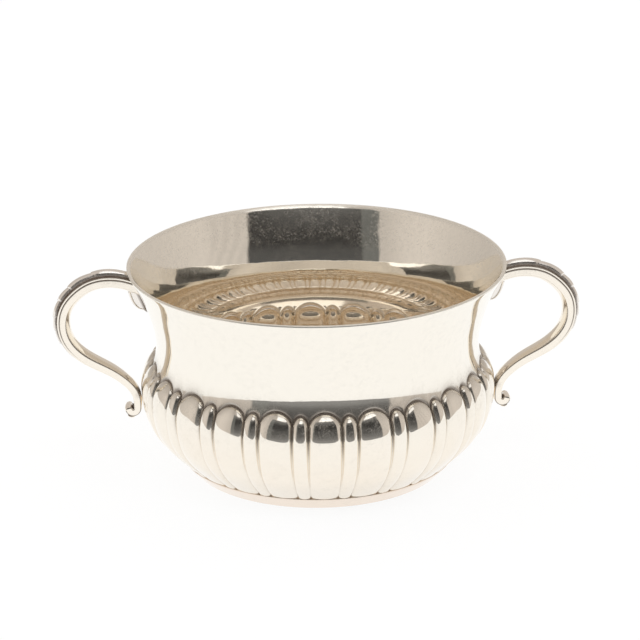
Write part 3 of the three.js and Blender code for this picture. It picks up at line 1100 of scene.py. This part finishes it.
def make_world():
    """A warm grey room with a dark opening in front, a soft box above it and a light ceiling.

    The camera itself sees plain white behind the floor.
    """
    world = bpy.data.worlds.new("studio")
    bpy.context.scene.world = world
    nodes = Nodes(world)
    direction = nodes.add("ShaderNodeSeparateXYZ")
    nodes.put(direction.inputs[0], nodes.add("ShaderNodeTexCoord").outputs["Generated"])
    x, y, z = direction.outputs
    turn = nodes.math("DEGREES", nodes.math("ARCTAN2", x, nodes.times(y, -1)))
    height = nodes.math("DEGREES", nodes.math("ARCSINE", z))

    # Grey room: lighter towards the sides, with soft folds of a curtain on the right
    room_tones = [(place, tuple(level * WARM_GREY)) for place, level in ROOM_LEVELS]
    room = nodes.ramp(nodes.times_plus(turn, 1 / 360, 0.5), room_tones)
    lean = nodes.times_plus(height, FOLD_SLOPE[1], nodes.times(turn, FOLD_SLOPE[0]))
    folds = nodes.times(nodes.math("SINE", lean), nodes.window(turn, *FOLD_TURN, FOLD_BLUR))
    shaded_room = nodes.add("ShaderNodeVectorMath", operation="SCALE")
    nodes.put(shaded_room.inputs[0], room)
    nodes.put(shaded_room.inputs["Scale"], nodes.times_plus(folds, FOLD_DEPTH, 1))

    # Dark opening in front, where the camera stands
    opening = nodes.window(turn, *OPENING_TURN, OPENING_BLUR)
    below_top = nodes.step(height, OPENING_TOP + OPENING_TOP_BLUR, OPENING_TOP - OPENING_TOP_BLUR)
    opening = nodes.times(opening, below_top)
    up = nodes.times_plus(height, 1 / OPENING_SPAN, -OPENING_LOWEST / OPENING_SPAN)
    depth = nodes.ramp(up, [(place, grey(tone)) for place, tone in OPENING_TONES])
    strip = nodes.times(nodes.window(turn, *STRIP_TURN, STRIP_BLUR), STRIP_SHARE)
    depth = nodes.blend(strip, depth, STRIP_COLOUR)
    tone = nodes.blend(opening, shaded_room.outputs[0], depth)

    # Soft box over the camera
    box = nodes.window(turn, *SOFT_BOX_TURN, SOFT_BOX_BLUR)
    box = nodes.times(box, nodes.window(height, *SOFT_BOX_HEIGHT, SOFT_BOX_HEIGHT_BLUR))
    tone = nodes.blend(box, tone, grey(SOFT_BOX_TONE))

    # Light ceiling, which the inside of the bowl shows
    tone = nodes.blend(nodes.step(height, *CEILING_HEIGHT), tone, grey(CEILING_TONE))

    camera_ray = nodes.add("ShaderNodeLightPath").outputs["Is Camera Ray"]
    background = nodes.add("ShaderNodeBackground")
    nodes.put(background.inputs["Color"], nodes.blend(camera_ray, tone, grey(1)))
    nodes.finish("ShaderNodeOutputWorld", background.outputs[0])


def make_floor():
    """A pale table top whose front edge lies just outside the photograph."""
    corners = np.array([
        (-FLOOR_REACH, FLOOR_FRONT, 0),
        (FLOOR_REACH, FLOOR_FRONT, 0),
        (FLOOR_REACH, FLOOR_REACH, 0),
        (-FLOOR_REACH, FLOOR_REACH, 0),
    ])
    mesh = bpy.data.meshes.new("pale_floor")
    mesh.from_pydata((corners * MM).tolist(), [], [(0, 1, 2, 3)])
    material = bpy.data.materials.new("pale_floor")
    nodes = Nodes(material)
    diffuse = nodes.add("ShaderNodeBsdfDiffuse")
    diffuse.inputs["Color"].default_value = FLOOR_COLOUR
    ray = nodes.add("ShaderNodeLightPath").outputs
    in_metal = nodes.glow(FLOOR_IN_METAL)
    lit = nodes.mix_shaders(ray["Is Glossy Ray"], diffuse.outputs[0], in_metal)
    glow_share = nodes.times(ray["Is Camera Ray"], FLOOR_GLOW_SHARE)
    seen = nodes.mix_shaders(glow_share, lit, nodes.glow(FLOOR_GLOW))
    nodes.finish("ShaderNodeOutputMaterial", seen)
    mesh.materials.append(material)
    floor = add_object("pale_floor", mesh)


def make_camera():
    """Camera at the photograph's viewing angle, turned so that the aim lands on its pixel."""
    camera = add_object("camera", bpy.data.cameras.new("camera"))
    place = Vector(CAMERA_PLACE) * MM
    forward = (Vector(CAMERA_AIM) * MM - place).normalized()
    level = forward.cross(Vector((0, 0, 1))).normalized()
    above = level.cross(forward)
    right = math.cos(CAMERA_ROLL) * level + math.sin(CAMERA_ROLL) * above
    up = right.cross(forward)
    turn = Matrix((right, up, -forward)).transposed()
    focal_pixels = CAMERA_LENS / CAMERA_SENSOR * IMAGE_SIZE
    pan = math.atan((AIM_PIXEL[0] - IMAGE_SIZE / 2) / focal_pixels)
    tilt = math.atan((AIM_PIXEL[1] - IMAGE_SIZE / 2) / focal_pixels)
    turn = turn @ Matrix.Rotation(pan, 3, "Y") @ Matrix.Rotation(tilt, 3, "X")
    camera.matrix_world = Matrix.Translation(place) @ turn.to_4x4()
    camera.data.lens = CAMERA_LENS
    camera.data.clip_end = CAMERA_CLIP_END * MM
    bpy.context.scene.camera = camera


make_world()
make_floor()
make_camera()
bpy.context.scene.view_settings.view_transform = "Standard"
bpy.context.scene.cycles.glossy_bounces = GLOSSY_BOUNCES
